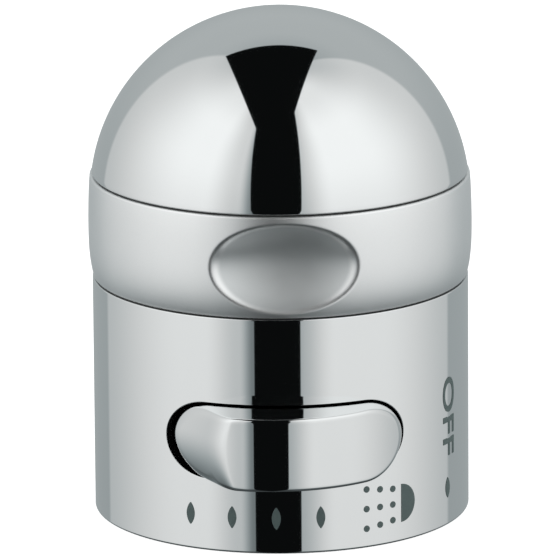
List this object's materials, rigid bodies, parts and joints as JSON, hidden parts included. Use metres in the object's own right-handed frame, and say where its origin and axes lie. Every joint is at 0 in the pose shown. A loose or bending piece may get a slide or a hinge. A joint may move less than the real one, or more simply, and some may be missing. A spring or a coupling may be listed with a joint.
{
  "type": "shower valve handle",
  "caption": "Chrome shower mixer control handle: domed cap, satin grip ring with thumb recess, slotted sleeve and a sprung push lever that releases the economy stop.",
  "frame": {"origin": "turning axis at the sleeve's bottom rim, the face that stands over the valve", "axes": "+Z along the turning axis towards the dome, -Y towards the push lever (front), +X to the right"},
  "size_m": [0.049, 0.0543, 0.065],
  "materials": {
    "chrome": "mirror-polished chrome plate",
    "satin_chrome": "satin chrome plate, matte",
    "black_plastic": "moulded acetal, fine matte",
    "white_plastic": "moulded acetal, natural white",
    "brass": "machined brass",
    "steel": "stainless steel, turned and stamped",
    "spring_steel": "drawn spring wire",
    "seal": "black elastomer, matte"
  },
  "bodies": {
    "valve_side": {"stop_ring": "white_plastic", "glide_washer": "white_plastic"},
    "handle": {"handle_sleeve": "chrome", "grip_ring": "satin_chrome", "dome_cap": "chrome", "inner_carrier": "black_plastic", "spline_insert": "brass", "fixing_screw": "steel", "fixing_washer": "steel", "sleeve_screws": "steel", "dome_snap_ring": "spring_steel", "grip_ring_dowel": "steel", "lever_guide": "black_plastic", "guide_screws": "steel", "end_stop_pin": "steel", "lower_seal": "seal", "upper_seal": "seal"},
    "push_lever": {"push_lever": "chrome", "lever_slide": "black_plastic", "lever_screws": "steel", "economy_pawl": "steel", "pawl_rivets": "steel", "return_spring_left": "spring_steel", "return_spring_right": "spring_steel"}
  },
  "joints": [
    {"name": "handle_turn", "type": "hinge", "parent": "valve_side", "child": "handle", "pos_m": [0, 0, 0], "axis": [0, 0, 1], "range_deg": [-91, 91]},
    {"name": "lever_press", "type": "slide", "parent": "handle", "child": "push_lever", "axis": [0, 1, 0], "range_m": [0, 0.0025], "stiffness_N_per_m": 1500, "springref_m": -0.002, "deforming": ["return_spring_left", "return_spring_right"]}
  ]
}
